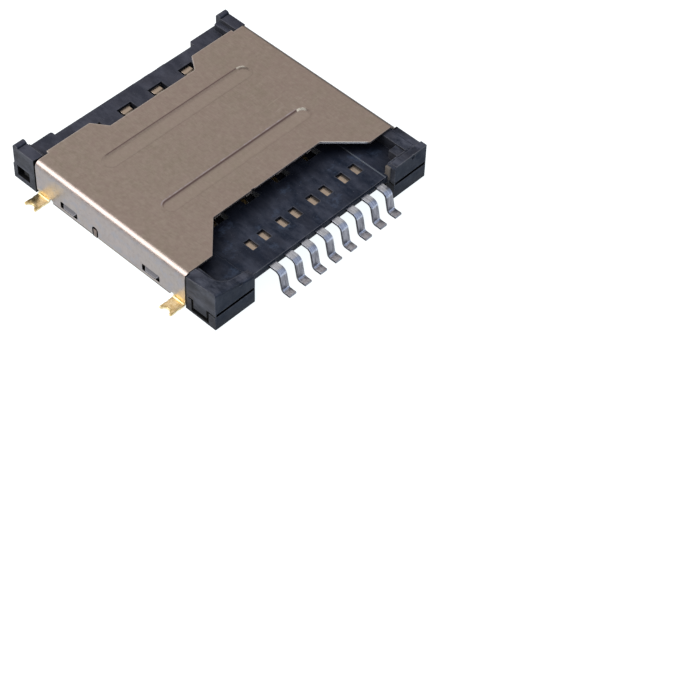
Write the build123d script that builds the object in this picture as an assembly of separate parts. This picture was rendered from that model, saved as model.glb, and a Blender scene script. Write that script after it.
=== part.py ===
from build123d import *
import os

# A surface-mount socket for two telephone cards, one above the other.
# Millimetres. X runs along the lead rows, +Y is the side where the cards go in,
# and z = 0 is the board. The origin lies on the board, in the middle of the width.

# The stack, from the board up
floor_thickness = 0.35
lower_slot_height = 0.80
deck_thickness = 0.50
upper_slot_height = 0.80
sheet = 0.15

floor_top = floor_thickness
deck_underside = floor_top + lower_slot_height
deck_top = deck_underside + deck_thickness
sheet_underside = deck_top + upper_slot_height
sheet_top = sheet_underside + sheet
seam = deck_underside

# Gaps between the pieces
card_side_gap = 0.10
sheet_side_gap = 0.05
sheet_end_gap = 0.09
lug_gap = 0.05

# The body in plan: half widths are measured from the middle of the card
card_width = 15.0
rail_thickness = 0.90
channel_half = card_width / 2 + card_side_gap
housing_half = channel_half + rail_thickness
wall_inner = housing_half + sheet_side_gap
body_half = wall_inner + sheet
block_overhang = 0.06
block_half = body_half + block_overhang
front_end = -8.78
front_wall = 0.71
front_wall_inner = front_end + front_wall
left_wall_reach = 1.98
right_wall_reach = 1.60
left_wall_end = -channel_half + left_wall_reach
right_wall_end = channel_half - right_wall_reach
card_stop_length = 0.77
card_stop = front_wall_inner + card_stop_length
card_stop_width = 0.60
card_stop_half = channel_half - card_stop_width
deck_setback = 0.48
deck_front = front_end + deck_setback
floor_setback = 1.33
floor_front = front_end + floor_setback
deck_rear = 8.12
floor_rear = deck_rear
corner_round = 0.05
lip_round = 0.15
seam_relief = 0.10
seam_relief_depth = 0.35
seam_relief_end = 0.08

# The sheet metal shield
block_length = 2.53
wall_front = front_end + block_length
wall_rear = 6.40
wall_foot = 0.10
lip_half = channel_half
lip_length = 0.20
bend_inner = 0.28
front_cut_margin = 2.20
front_cut_half = body_half - front_cut_margin
front_cut_slant = 2.12
front_cut_inner_half = front_cut_half - front_cut_slant
front_cut_depth = 2.10
rear_cut_half = 4.20
rear_cut_slant = 0.73
rear_cut_inner_half = rear_cut_half - rear_cut_slant
rear_cut_depth = 1.03
nick_place = -1.17
nick_width = 0.26
nick_depth = 0.06
rib_length = 11.85
rib_width = 1.00
rib_depth = 0.10
rib_slope = 45
rib_places = (3.35, -1.75)
window_length = 1.45
window_height = 0.52
window_middle = 0.60
window_round = 0.10
window_places = (3.58, -3.40)
notch_place = 1.32
notch_width = 0.50
notch_top = 0.86
tab_width = 0.96
tab_from_end = (tab_width / 2 + 0.12, tab_width / 2 + 0.02)
tab_places = (wall_rear - tab_from_end[0], wall_front + tab_from_end[1])
tab_reach = 1.13
tab_bend = 0.20
tab_relief_height = 0.34
tab_relief_side = 0.30
tab_relief_round = 0.18
tail_radius = 0.36
tail_depth = 0.24
waist_depth = 0.03

# The contacts
lead_pitch = 1.27
column_pitch = 2.54
row_spacing = 7.62
columns = 4
metal = 0.15
column_middle = 0.15
contact_from_stop = 4.45
front_row_contact = card_stop + contact_from_stop
rear_row_contact = front_row_contact + row_spacing
slot_width = 1.14
slot_ahead = 1.23
front_slot_behind = 3.43
rear_slot_behind = 2.25
front_slot = (front_row_contact - slot_ahead, front_row_contact + front_slot_behind)
rear_slot = (rear_row_contact - slot_ahead, rear_row_contact + rear_slot_behind)
contact_rise = 0.50
contact_bend = 0.30
arm_root_width = 0.72
arm_tip_width = 0.46
arm_tip_drop = 0.30
arm_tip_length = 0.92
front_arm_flat = 1.55
rear_arm_flat = 0.42
arm_knee_length = 0.55
arm_knee_rise = 0.25
floor_metal_middle = 0.175
deck_metal_height = 0.245
deck_metal_middle = deck_underside + deck_metal_height

# Leads of the upper contacts
tall_lead_width = 0.55
tall_lead_offset = -0.115
tall_knee = deck_front - 0.80
tall_ankle = tall_knee - 0.28
tall_toe = tall_ankle - 0.62
tall_knee_bend = 0.38
tall_ankle_bend = 0.22
lane_width = 0.35
near_lane_gap = 0.155
far_lane_gap = 0.255
near_lane_offset = -(slot_width + lane_width) / 2 - near_lane_gap
far_lane_offset = (slot_width + lane_width) / 2 + far_lane_gap
root_plate = 0.75
window_pair_offset = 0.48
window_pair_spacing = 1.07
lead_window_width = 0.50
lead_window_length = 0.80
lead_window_front = deck_front + 1.37
lead_window = (lead_window_front, lead_window_front + lead_window_length)

# Leads of the lower contacts
short_lead_width = 0.60
short_lead_offset = 0.05
short_step = floor_rear + 0.54
short_step_run = 0.14
short_foot = 0.50
short_ankle = short_step + short_step_run
short_toe = short_ankle + short_foot
short_bend = 0.09
long_lane_offset = short_lead_offset - lead_pitch
pad_offset = -0.74
pad_opening = 1.20
pad_plate = 1.44
pad_hole = 0.60
pad_place = front_slot[1] + pad_plate / 2 + 0.50
slit_width = 0.20
slit_length = 0.98
slit_front = rear_slot[0] + 1.01
slit = (slit_front, slit_front + slit_length)

# Housing details
step_inset = 1.40
step_half = body_half - step_inset
step_depth = 0.04
deck_step_half = right_wall_end - 0.30
deck_step_height = 0.05
left_ridge_top = sheet_top + 0.32
left_ridge_drop = 0.68
left_band_tops = (left_ridge_top + 0.04, left_ridge_top - 0.24)
ridge_round = 0.22
right_block_top = sheet_top - 0.16
right_rim_top = right_block_top + 0.13
right_rim_width = 0.50
stop_top = right_block_top - 0.12
right_edge_slope = 0.10
end_rib = (0.12, 0.36)
left_rear_top = sheet_top - 0.03
right_rear_top = left_rear_top - 0.12
rear_shelf_top = sheet_underside - 0.30
rear_block_length = 1.41
block_front_face = wall_front - sheet_end_gap
block_rear_face = wall_rear + sheet_end_gap
rear_block_rear = block_rear_face + rear_block_length
horn_width = 0.75
horn_half = body_half - horn_width
horn_rear = floor_rear + 0.34
horn_face = horn_rear - 0.12
horn_rise = 0.16
horn_crest = 0.04
rear_lip = (channel_half - 1.90, horn_half)
rear_lip_rear = deck_rear + 0.28
floor_tab = (channel_half - 1.25, channel_half - 0.70)
floor_tab_rear = floor_rear + 0.28
lead_in = 0.14
entry_slope = (0.25, 0.10)
tongue_setback = 0.68
tongue_length = 1.16
tongue_gap = 0.10
tongue_root_room = 0.35
tongue_front = front_end + tongue_setback
tongue = (tongue_front, tongue_front + tongue_length)
tongue_depth = 0.68
tongue_inner = block_half - tongue_depth
tongue_drop = 0.66
tongue_room_foot = 0.20
pocket_length = 1.08
pocket_rear = rear_block_rear + 0.20
pocket = (pocket_rear - pocket_length, pocket_rear)
pocket_depth = 0.80
pocket_foot = 0.36
lug_length = 0.55
lug_drop = 0.50
lug_setback = 0.12
bump_gap = 0.07
bump_rise = 0.22
bump_flat = 0.10
bowl_setback = 0.83
bowl_front = front_end + 0.53
bowl_half = block_half - bowl_setback
bowl_corner = 1.00
bowl_round = 0.85
gate_width = 0.30
gate_depth = 0.06
gate_height = right_block_top - 0.06
gate_places = (-block_half + 2.03, block_half - 1.21)
relief_rear = wall_front - 0.15
relief_width = 0.16
relief_hole = (0.50, 0.70)


def prism(x, y, z):
    """A block between two planes on each axis, given as (low, high) pairs."""
    size = [pair[1] - pair[0] for pair in (x, y, z)]
    middle = [(pair[1] + pair[0]) / 2 for pair in (x, y, z)]
    return Pos(*middle) * Box(*size)


def both_sides(shape):
    """A shape together with its image on the other side of the YZ plane."""
    return shape + mirror(shape, about=Plane.YZ)


def plate(outline, bottom, top):
    """A closed outline in plan, given by its corners, raised between two heights."""
    face = make_face(Polyline(*outline, close=True))
    return Pos(0, 0, bottom) * extrude(face, top - bottom)


def column_x(column):
    """The middle of a contact slot, counted from the -X side."""
    return column_middle + (column - (columns - 1) / 2) * column_pitch


# Contacts: each is one stamped and bent strip

def ribbon(middle_line):
    """Plan outline of a strip from (x, y, width) along its middle line."""
    left = [(x - width / 2, y) for x, y, width in middle_line]
    right = [(x + width / 2, y) for x, y, width in reversed(middle_line)]
    return left + right


def flat_strip(outline, middle):
    """A flat piece of the strip, lying inside the plastic."""
    return plate(outline, middle - metal / 2, middle + metal / 2)


def bent_strip(x, width, line, bends):
    """A strip of even width that follows a bent (y, z) line."""
    path = FilletPolyline(*[(0, y, z) for y, z in line], radius=bends)
    start = Plane(origin=path @ 0, x_dir=(1, 0, 0), z_dir=path % 0)
    return Pos(x, 0, 0) * sweep(start * Rectangle(width, metal), path=path)


def spring_arm(x, slot, contact_y, flat, strip_middle, card_floor):
    """A tapered arm from the +Y end of its slot, up to the card and down at its tip."""
    apex = card_floor + contact_rise
    flat_end = slot[1] - flat
    tip_y = contact_y - arm_tip_length
    line = [
        (slot[1], strip_middle),
        (flat_end, strip_middle),
        (flat_end - arm_knee_length, strip_middle + arm_knee_rise),
        (contact_y, apex),
        (tip_y, apex - arm_tip_drop),
    ]
    arm = bent_strip(x, arm_root_width, line, [contact_bend, contact_bend, 2 * contact_bend])
    taper = [
        (x, slot[1], arm_root_width),
        (x, flat_end, arm_root_width),
        (x, tip_y - metal, arm_tip_width),
    ]
    return arm & plate(ribbon(taper), 0, sheet_top)


def upper_contact(number):
    """A contact of the deck, with its tall lead on the -Y side."""
    column, feeds_rear = divmod(number, 2)
    x = column_x(column)
    lead_x = x + tall_lead_offset + feeds_rear * lead_pitch
    window_x = x + window_pair_offset + (feeds_rear - 0.5) * window_pair_spacing
    slot = rear_slot if feeds_rear else front_slot
    lane_x = x + (far_lane_offset if feeds_rear else near_lane_offset)
    contact_y = rear_row_contact if feeds_rear else front_row_contact
    lane = [
        (lead_x, deck_front, tall_lead_width),
        (lead_x, lead_window[0] - tall_lead_width, tall_lead_width),
        (window_x, lead_window[0] - lane_width / 2, tall_lead_width),
        (window_x, lead_window[1] + lane_width / 2, tall_lead_width),
        (lane_x, front_slot[0] - lane_width, lane_width),
        (lane_x, slot[1] + root_plate, lane_width),
    ]
    root_x = sorted((lane_x, x + (-1 if feeds_rear else 1) * arm_root_width / 2))
    root = prism(root_x, (slot[1], slot[1] + root_plate), (0, metal))
    root = Pos(0, 0, deck_metal_middle - metal / 2) * root
    lead = bent_strip(
        lead_x,
        tall_lead_width,
        [(deck_front, deck_metal_middle), (tall_knee, deck_metal_middle),
         (tall_ankle, metal / 2), (tall_toe, metal / 2)],
        [tall_knee_bend, tall_ankle_bend],
    )
    flat = rear_arm_flat if feeds_rear else front_arm_flat
    arm = spring_arm(x, slot, contact_y, flat, deck_metal_middle, deck_top)
    return flat_strip(ribbon(lane), deck_metal_middle) + root + lead + arm


def lower_contact(number):
    """A contact of the floor, with its short lead on the +Y side."""
    column, feeds_rear = divmod(number, 2)
    x = column_x(column)
    lead_x = x + (short_lead_offset if feeds_rear else long_lane_offset)
    lead = bent_strip(
        lead_x,
        short_lead_width,
        [(rear_slot[1] + root_plate, floor_metal_middle), (short_step, floor_metal_middle),
         (short_ankle, metal / 2), (short_toe, metal / 2)],
        [short_bend, short_bend],
    )
    if feeds_rear:
        neck = [
            (x, rear_slot[1], arm_root_width),
            (lead_x, rear_slot[1] + root_plate, short_lead_width),
        ]
        carrier = flat_strip(ribbon(neck), floor_metal_middle)
        contact_y = rear_row_contact
        arm = spring_arm(x, rear_slot, contact_y, rear_arm_flat, floor_metal_middle, floor_top)
        return carrier + lead + arm
    pad_x = x + pad_offset
    pad_rear = pad_place + pad_plate / 2
    lane = [
        (lead_x, rear_slot[1] + root_plate, short_lead_width),
        (lead_x, pad_rear + pad_plate / 2, short_lead_width),
        (pad_x, pad_rear, short_lead_width),
        (pad_x, pad_place, short_lead_width),
    ]
    pad = Pos(pad_x, pad_place, floor_metal_middle) * Box(pad_plate, pad_plate, metal)
    hole = Pos(pad_x, pad_place, floor_metal_middle) * Cylinder(pad_hole / 2, 2 * metal)
    root_x = (pad_x - pad_plate / 2, x + arm_root_width / 2)
    root_z = (floor_metal_middle - metal / 2, floor_metal_middle + metal / 2)
    root = prism(root_x, (front_slot[1], pad_place), root_z)
    arm = spring_arm(x, front_slot, front_row_contact, front_arm_flat, floor_metal_middle, floor_top)
    return flat_strip(ribbon(lane), floor_metal_middle) + pad + root + lead + arm - hole


upper_contacts = [upper_contact(number) for number in range(2 * columns)]
lower_contacts = [lower_contact(number) for number in range(2 * columns)]


# Slots and windows that both mouldings share

def contact_slots(bottom, top):
    """The eight slots in which the arms move, through one moulding."""
    cuts = Part()
    for column in range(columns):
        x = column_x(column)
        for slot in (front_slot, rear_slot):
            cuts += prism((x - slot_width / 2, x + slot_width / 2), slot, (bottom, top))
    return cuts


def side_step(inner, outer, y, z):
    """A pair of equal blocks, one on each side."""
    return both_sides(prism((inner, outer), y, z))


# The lower moulding: floor, card rails, corner blocks and rear horns

def lower_moulding():
    floor = plate(
        [(-housing_half, floor_front), (housing_half, floor_front),
         (housing_half, floor_rear), (-housing_half, floor_rear)],
        0, floor_top)
    body = floor + side_step(*floor_tab, (floor_rear, floor_tab_rear), (0, floor_top))
    body += side_step(channel_half, housing_half, (floor_front, floor_rear), (0, seam))
    body += front_walls(0, seam)
    body += side_step(channel_half, block_half, (front_end, block_front_face), (0, seam))
    body += front_floor()
    body += side_step(channel_half, body_half, (block_rear_face, floor_rear), (0, seam))
    body = round_front_corners(body)
    body += prism((card_stop_half, channel_half), (front_wall_inner, card_stop), (0, seam))
    body += side_step(horn_half, body_half, (floor_rear, horn_rear), (0, seam))

    body -= contact_slots(0, floor_top)
    for column in range(columns):
        pad_x = column_x(column) + pad_offset
        body -= Pos(pad_x, pad_place, 0) * Box(pad_opening, pad_opening, 2 * floor_metal_middle)
        slit_x = column_x(column) + long_lane_offset - short_lead_width / 2 + slit_width / 2
        slit_span = (slit_x - slit_width / 2, slit_x + slit_width / 2)
        body -= prism(slit_span, slit, (0, floor_metal_middle))
    body -= side_step(step_half, body_half, (block_front_face, block_rear_face), (0, step_depth))

    body -= seam_groove(seam - seam_relief, seam)
    tongue_room = (tongue[0] - tongue_gap, tongue[1] + tongue_gap)
    body -= side_step(tongue_inner - tongue_gap, block_half, tongue_room, (tongue_room_foot, seam))
    root_room = (tongue[0] - tongue_root_room, tongue[1] + tongue_root_room)
    body -= side_step(tongue_inner, block_half, root_room, (seam - seam_relief, seam))
    body -= side_step(body_half - pocket_depth, body_half, pocket, (pocket_foot, seam))
    for place in window_places:
        body += both_sides(latch_bump(place))
    key_span = (notch_place - notch_width / 2 + bump_gap, notch_place + notch_width / 2 - bump_gap)
    body += side_step(housing_half, housing_half + bump_rise, key_span,
                      (wall_foot, notch_top - 2 * bump_gap))

    relief_span = (left_wall_end, left_wall_end + relief_width)
    body -= prism(relief_span, (floor_front, relief_rear), (0, floor_top))
    body -= prism((right_wall_end - relief_hole[0], right_wall_end),
                  (floor_front, floor_front + relief_hole[1]), (0, floor_top))
    return body - lower_contacts


def front_walls(bottom, top):
    """The two short walls at the -Y end, from the sides inwards."""
    y = (front_end, front_wall_inner)
    left = prism((-block_half, left_wall_end), y, (bottom, top))
    return left + prism((right_wall_end, block_half), y, (bottom, top))


def front_floor():
    """The floor between each front wall and the lower card slot."""
    y = (front_wall_inner, block_front_face)
    left = prism((-block_half, left_wall_end), y, (0, floor_top))
    return left + prism((right_wall_end, block_half), y, (0, floor_top))


def seam_groove(bottom, top):
    """The open joint along the front of the corner blocks, between two heights."""
    y = (front_end, front_end + seam_relief_depth)
    outer = block_half - seam_relief_end
    left = prism((-outer, left_wall_end - seam_relief_end), y, (bottom, top))
    return left + prism((right_wall_end + seam_relief_end, outer), y, (bottom, top))


def round_front_corners(body):
    """Round the two outermost upright edges at the -Y end."""
    upright = body.edges().filter_by(Axis.Z).group_by(Axis.Y)[0]
    outermost = ShapeList(upright.group_by(Axis.X)[0] + upright.group_by(Axis.X)[-1])
    return fillet(outermost, corner_round)


def rear_block(side, top):
    """The block at a rear corner of the upper moulding, with a post that is round at its top."""
    x = sorted((side * horn_half, side * body_half))
    crest = top + horn_rise
    post = make_face(Polyline((rear_block_rear, seam), (horn_face, seam), (horn_face, crest),
                              (rear_block_rear, crest), close=True))
    radius = (horn_face - rear_block_rear - horn_crest) / 2
    tops = post.vertices().filter_by(lambda vertex: vertex.Y > top)
    post = extrude(Plane.YZ * fillet(tops, radius), x[1] - x[0])
    return prism(x, (block_rear_face, rear_block_rear), (seam, top)) + Pos(x[0], 0, 0) * post


def latch_bump(place):
    """A wedge that catches the lower edge of a shield window, sloped at its top and ends."""
    low = window_middle - window_height / 2 + bump_gap
    high = window_middle + window_height / 2 - bump_gap
    side = make_face(Polyline((housing_half, low), (housing_half + bump_rise, low),
                              (housing_half + bump_rise, low + bump_flat),
                              (housing_half, high), close=True))
    length = window_length - 2 * bump_gap
    start, end = place - length / 2, place + length / 2
    wedge = Pos(0, end, 0) * extrude(Plane.XZ * side, length)
    ends = [(housing_half, start), (housing_half + bump_rise, start + bump_rise),
            (housing_half + bump_rise, end - bump_rise), (housing_half, end)]
    return wedge & plate(ends, low, high)


# The upper moulding: deck, card rails, corner stops and rear blocks

def upper_moulding():
    body = plate(
        [(-housing_half, deck_front), (housing_half, deck_front),
         (housing_half, deck_rear), (-housing_half, deck_rear)],
        deck_underside, deck_top)
    body += side_step(*rear_lip, (deck_rear, rear_lip_rear), (deck_underside, deck_top))
    lips = body.edges().filter_by(Axis.Z).filter_by(
        lambda edge: edge.center().Y > (deck_rear + rear_lip_rear) / 2)
    body = fillet(lips.filter_by(lambda edge: abs(edge.center().X) < channel_half), lip_round)
    entry = body.edges().filter_by(Axis.X).filter_by_position(Axis.Y, deck_rear, deck_rear)
    body = chamfer(entry.group_by(SortBy.LENGTH)[-1].group_by(Axis.Z)[0], lead_in)
    slope = make_face(Polyline((deck_rear - entry_slope[0], deck_top), (deck_rear, deck_top),
                               (deck_rear, deck_top - entry_slope[1]), close=True))
    body -= both_sides(extrude(Plane.YZ * slope, rear_lip[0]))
    body += side_step(deck_step_half, channel_half, (deck_front, wall_rear),
                      (deck_top, deck_top + deck_step_height))
    body += side_step(channel_half, horn_half, (block_rear_face, deck_rear), (seam, rear_shelf_top))
    body += rear_block(-1, left_rear_top) + rear_block(1, right_rear_top)
    body += left_block() + right_block()
    for place in gate_places:
        mark = Pos(place, front_end, gate_height) * Rot(90, 0, 0)
        body -= mark * Cylinder(gate_width / 2, 2 * gate_depth)
    body += both_sides(card_rail())
    body -= seam_groove(seam, seam + seam_relief)
    body += side_step(tongue_inner, block_half, tongue, (seam - tongue_drop, seam))
    lug_span = (pocket[0] + lug_gap, pocket[0] + lug_gap + lug_length)
    body += side_step(body_half - pocket_depth + lug_gap, body_half - lug_setback, lug_span,
                      (seam - lug_drop, seam))

    body -= contact_slots(deck_underside, deck_top)
    window_foot = deck_metal_middle
    for number in range(2 * columns):
        column, feeds_rear = divmod(number, 2)
        x = column_x(column) + window_pair_offset + (feeds_rear - 0.5) * window_pair_spacing
        span = (x - lead_window_width / 2, x + lead_window_width / 2)
        body -= prism(span, lead_window, (window_foot, deck_top))
    return body - upper_contacts


def card_rail():
    """The +X side wall of the card slot, rounded at its top to sit in the shield's bend."""
    rail = prism((channel_half, housing_half), (front_wall_inner, block_rear_face),
                 (deck_underside, sheet_underside))
    top_edge = rail.edges().filter_by(Axis.Y).group_by(Axis.Z)[-1].sort_by(Axis.X)[-1]
    return fillet(top_edge, bend_inner)


def left_block():
    """The -X corner: its top falls inwards and towards +Y, round a smooth bowl."""
    falls_inwards = make_face(Polyline(
        (-block_half, seam), (left_wall_end, seam),
        (left_wall_end, left_ridge_top - left_ridge_drop), (-block_half, left_ridge_top), close=True))
    falls_back = make_face(Polyline(
        (front_end, seam), (block_front_face, seam),
        (block_front_face, left_band_tops[1]), (front_end, left_band_tops[0]), close=True))
    block = Pos(0, block_front_face, 0) * extrude(Plane.XZ * falls_inwards, block_front_face - front_end)
    block &= Pos(-block_half, 0, 0) * extrude(Plane.YZ * falls_back, block_half + left_wall_end)
    crest = block.edges().group_by(Axis.Y)[0].sort_by(Axis.Z)[-1]
    block = fillet(crest, ridge_round)
    upright = block.edges().filter_by(Axis.Z).group_by(Axis.Y)[0].sort_by(Axis.X)[0]
    return fillet(upright, corner_round) - bowl()


def bowl():
    """The hollow inside the -X corner, rounded in plan and towards the deck."""
    foot = deck_top + deck_step_height
    room = prism((-bowl_half, bowl_half), (bowl_front, -bowl_front), (foot, foot - 2 * bowl_front))
    upright = room.edges().filter_by(Axis.Z).group_by(Axis.X)[0].sort_by(Axis.Y)[0]
    room = fillet(upright, bowl_corner)
    return fillet(room.edges().group_by(Axis.Z)[0], bowl_round)


def right_block():
    """The +X corner, with the ledge that stops the card and a higher rim in front."""
    block = prism((channel_half, block_half), (front_end, block_front_face), (seam, right_block_top))
    block += prism((right_wall_end, block_half), (front_end, front_wall_inner), (seam, right_block_top))
    inner = block.edges().filter_by(Axis.Y).group_by(Axis.Z)[-1].sort_by(Axis.X)[0:2]
    block = chamfer(inner, right_edge_slope)
    rim_y = (front_end, front_end + right_rim_width)
    rim_x = (right_wall_end + right_edge_slope, block_half)
    block += prism(rim_x, rim_y, (right_block_top, right_rim_top))
    block = round_right_corner(block)
    rib_y = (front_wall_inner - end_rib[1], front_wall_inner)
    rib_top = right_block_top - right_edge_slope
    block += prism((right_wall_end - end_rib[0], right_wall_end), rib_y, (seam, rib_top))
    stop_x = (card_stop_half, channel_half + right_edge_slope)
    return block + prism(stop_x, (front_wall_inner, card_stop), (seam, stop_top))


def round_right_corner(block):
    """Round the upright edges of the +X corner at its outermost point."""
    upright = block.edges().filter_by(Axis.Z).group_by(Axis.Y)[0].group_by(Axis.X)[-1]
    return fillet(upright, corner_round)


def shield():
    """The folded cover: a top with ribs and cut-outs, two walls and four solder tabs."""
    outer = make_face(Polyline((-body_half, wall_foot), (-body_half, sheet_top),
                               (body_half, sheet_top), (body_half, wall_foot), close=True))
    outer = fillet(outer.vertices().group_by(Axis.Y)[-1], bend_inner + sheet)
    inner = make_face(Polyline((-wall_inner, wall_foot), (-wall_inner, sheet_underside),
                               (wall_inner, sheet_underside), (wall_inner, wall_foot), close=True))
    inner = fillet(inner.vertices().group_by(Axis.Y)[-1], bend_inner)
    length = wall_rear - wall_front
    body = Pos(0, wall_rear, 0) * extrude(Plane.XZ * (outer - inner), length)
    body += prism((-lip_half, lip_half), (wall_rear, wall_rear + lip_length),
                  (sheet_underside, sheet_top))

    front_cut = [(-front_cut_half, wall_front), (-front_cut_inner_half, wall_front + front_cut_depth),
                 (front_cut_inner_half, wall_front + front_cut_depth), (front_cut_half, wall_front)]
    lip_rear = wall_rear + lip_length
    rear_cut = [(-rear_cut_half, lip_rear), (-rear_cut_inner_half, lip_rear - rear_cut_depth),
                (rear_cut_inner_half, lip_rear - rear_cut_depth), (rear_cut_half, lip_rear)]
    body -= plate(front_cut, sheet_underside, sheet_top)
    body -= plate(rear_cut, sheet_underside, sheet_top)
    front_edge = wall_front + front_cut_depth
    body -= prism((nick_place - nick_width / 2, nick_place + nick_width / 2),
                  (front_edge, front_edge + nick_depth), (sheet_underside, sheet_top))

    for place in rib_places:
        outline = SlotOverall(rib_length, rib_width)
        pressed = extrude(Pos(0, place, sheet_underside) * outline, -rib_depth, taper=rib_slope)
        hollow = extrude(Pos(0, place, sheet_top) * outline, -rib_depth, taper=rib_slope)
        body = body + pressed - hollow

    for place in window_places:
        opening = Plane.YZ * Pos(place, window_middle) * RectangleRounded(
            window_length, window_height, window_round)
        body -= extrude(opening, 2 * body_half, both=True)
    notch = Plane.YZ * Pos(notch_place, 0) * SlotOverall(2 * notch_top, notch_width, rotation=90)
    body -= extrude(notch, 2 * body_half, both=True)

    for place in tab_places:
        body = body - both_sides(tab_relief(place)) + both_sides(solder_tab(place))
    return body


def tab_relief(place):
    """The room that the wall leaves beside a solder tab, up to the wall's end."""
    outward = 1 if place > 0 else -1
    wall_end = wall_rear if place > 0 else wall_front
    inner_end = place - outward * (tab_width / 2 + tab_relief_side)
    corners = [(inner_end, 0), (inner_end, tab_relief_height),
               (wall_end + outward, tab_relief_height), (wall_end + outward, 0)]
    side = make_face(Polyline(*corners, close=True))
    corner = side.vertices().sort_by_distance((inner_end, tab_relief_height, 0))[0]
    side = fillet(corner, tab_relief_round)
    return Pos(wall_inner - sheet, 0, 0) * extrude(Plane.YZ * side, 3 * sheet)


def solder_tab(place):
    """A tab bent out from the foot of the wall, with a fishtail end."""
    wall_middle = body_half - sheet / 2
    path = FilletPolyline((wall_middle, place, tab_relief_height + sheet),
                          (wall_middle, place, sheet / 2),
                          (body_half + tab_reach, place, sheet / 2), radius=tab_bend)
    start = Plane(origin=path @ 0, x_dir=(0, 1, 0), z_dir=path % 0)
    tab = sweep(start * Rectangle(tab_width, sheet), path=path)
    tail_x = body_half + tab_reach + tail_radius - tail_depth
    tail = Pos(tail_x, place, 0) * Cylinder(tail_radius, 4 * sheet)
    waist_x = body_half + tab_reach / 2
    waist_y = tab_width / 2 + tail_radius - waist_depth
    waist = Pos(waist_x, place + waist_y, 0) * Cylinder(tail_radius, 4 * sheet)
    waist += Pos(waist_x, place - waist_y, 0) * Cylinder(tail_radius, 4 * sheet)
    return tab - tail - waist


pieces = {
    "shield": shield(),
    "upper_housing": upper_moulding(),
    "lower_housing": lower_moulding(),
}
for number in range(2 * columns):
    pieces[f"upper_contact_{number + 1}"] = upper_contacts[number]
    pieces[f"lower_contact_{number + 1}"] = lower_contacts[number]

os.makedirs("parts", exist_ok=True)
for name, piece in pieces.items():
    export_step(piece, f"parts/{name}.step")
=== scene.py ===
"""A socket for two telephone cards: moulded floor and deck, sprung contacts and a folded shield."""
import math

import bmesh
import bpy
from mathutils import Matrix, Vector
from mathutils.geometry import intersect_point_line


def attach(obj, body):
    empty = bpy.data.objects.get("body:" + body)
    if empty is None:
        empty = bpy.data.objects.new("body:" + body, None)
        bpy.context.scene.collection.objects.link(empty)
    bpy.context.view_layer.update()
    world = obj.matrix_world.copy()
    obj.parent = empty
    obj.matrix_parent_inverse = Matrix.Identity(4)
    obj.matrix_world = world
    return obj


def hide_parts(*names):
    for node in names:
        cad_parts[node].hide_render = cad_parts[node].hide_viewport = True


MM = 0.001

# Places on the sheet where its finish changes, in millimetres
WALL_FACE = 8.70
WALL_FOOT = 0.15
TOP_HALF = 8.25
TOP_HEIGHT = 2.45
FAR_BEND = (8.37, 8.45)
TAB_PLACES = (5.80, -5.75)
TAB_HALF = 0.48
RIB_PLACES = (3.35, -1.75)
RIB_END = 5.425
RIB_HALF = 0.50
WINDOW_HEIGHTS = (0.30, 0.90)
# Where the painted highlight on the front cut edge is strongest
HIGHLIT_FRONT = (-6.15, -4.0)
SCUFF_MIDDLE = (5.6, -0.6)

# Places on the mouldings
DECK_TOP = 1.65
DECK_SHADE = (-5.7, -4.2)
STEP_PLACE = 5.70
FRONT_RIB = ((5.87, 6.01), (-8.44, -8.02))
SEAM = 1.15
CATCHES = (3.58, -3.40)
CATCH_HALF = 0.60
CATCH_HEIGHTS = (0.42, 0.80)
WINDOW_HALF = 0.78
NOTCH = 1.32
NOTCH_HALF = 0.30
KEY_HALF = 0.11
ROOM_ENDS = (-8.22, -6.82)
ROOT_ENDS = (-8.46, -6.58)
TONGUE_ENDS = (-8.03, -7.01)
POCKET_ENDS = (7.01, 8.11)
GROOVE_ENDS = (-8.772, -8.38)
WALL_ENDS = ((-6.45, -6.15), (6.35, 6.53))

# Places on the contacts
LEAD_ROOTS = (-8.30, 8.12)
CONTACT_ROWS = (-2.85, 4.77)
COLUMN_PITCH = 2.54
COLUMNS = 4

# Widths of the rounded edges, and the under and upper side of the strips where they leave the plastic
SHEET_EDGE = 0.02
MOULDED_EDGE = 0.035
STRIP_EDGE = 0.018
DECK_STRIP = (1.32, 1.47)
FLOOR_STRIP = (0.10, 0.25)

# What counts as the same and as sharp, and the shares of the room that a rounding takes
SAME_HEIGHT = 0.004
SAME_POINT = 0.0004
SAME_PLANE = math.radians(0.4)
SOFT_ANGLE = math.radians(50)
SHADED_ANGLE = math.radians(38)
CUSP = math.radians(25)
BEND = math.radians(35)
AHEAD_SHARE = 0.8
ROOM_SHARE = 0.45
LEAST_SHARE = 0.25

SHEET_COLOURS = {
    "warm grey": (0.362, 0.325, 0.298),
    "rosy grey": (0.385, 0.325, 0.318),
    "pink cloud": (0.402, 0.330, 0.335),
    "pale mottle": (0.465, 0.415, 0.392),
    "drawn grain": (0.275, 0.238, 0.225),
    # painted shade: the walls' darker tone
    "wall": (0.225, 0.205, 0.202),
    "wall streak": (0.250, 0.225, 0.218),
    "wall blotch": (0.275, 0.268, 0.290),
    "wall stain": (0.215, 0.190, 0.180),
    "scuff": (0.52, 0.48, 0.47),
    # painted shade on the far bend
    "far bend shade": (0.085, 0.070, 0.072),
    "bright cut": (0.96, 0.97, 1.0),
    # painted shade in the windows' cut faces
    "window cut shade": (0.030, 0.028, 0.030),
    "brassy foot": (0.50, 0.40, 0.24),
    # painted shade at the foot of the wall
    "hem shade": (0.050, 0.036, 0.028),
    "deep gold": (0.60, 0.46, 0.22),
    "pale gold": (0.80, 0.68, 0.42),
    "rib middle": (0.455, 0.405, 0.385),
    "rib shadow": (0.155, 0.110, 0.125),
    # painted shade, glint and highlight on the ribs
    "rib far side": (0.20, 0.16, 0.16),
    "rib edge glint": (0.52, 0.50, 0.64),
    "rib end highlight": (0.94, 0.98, 1.0),
}

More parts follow.
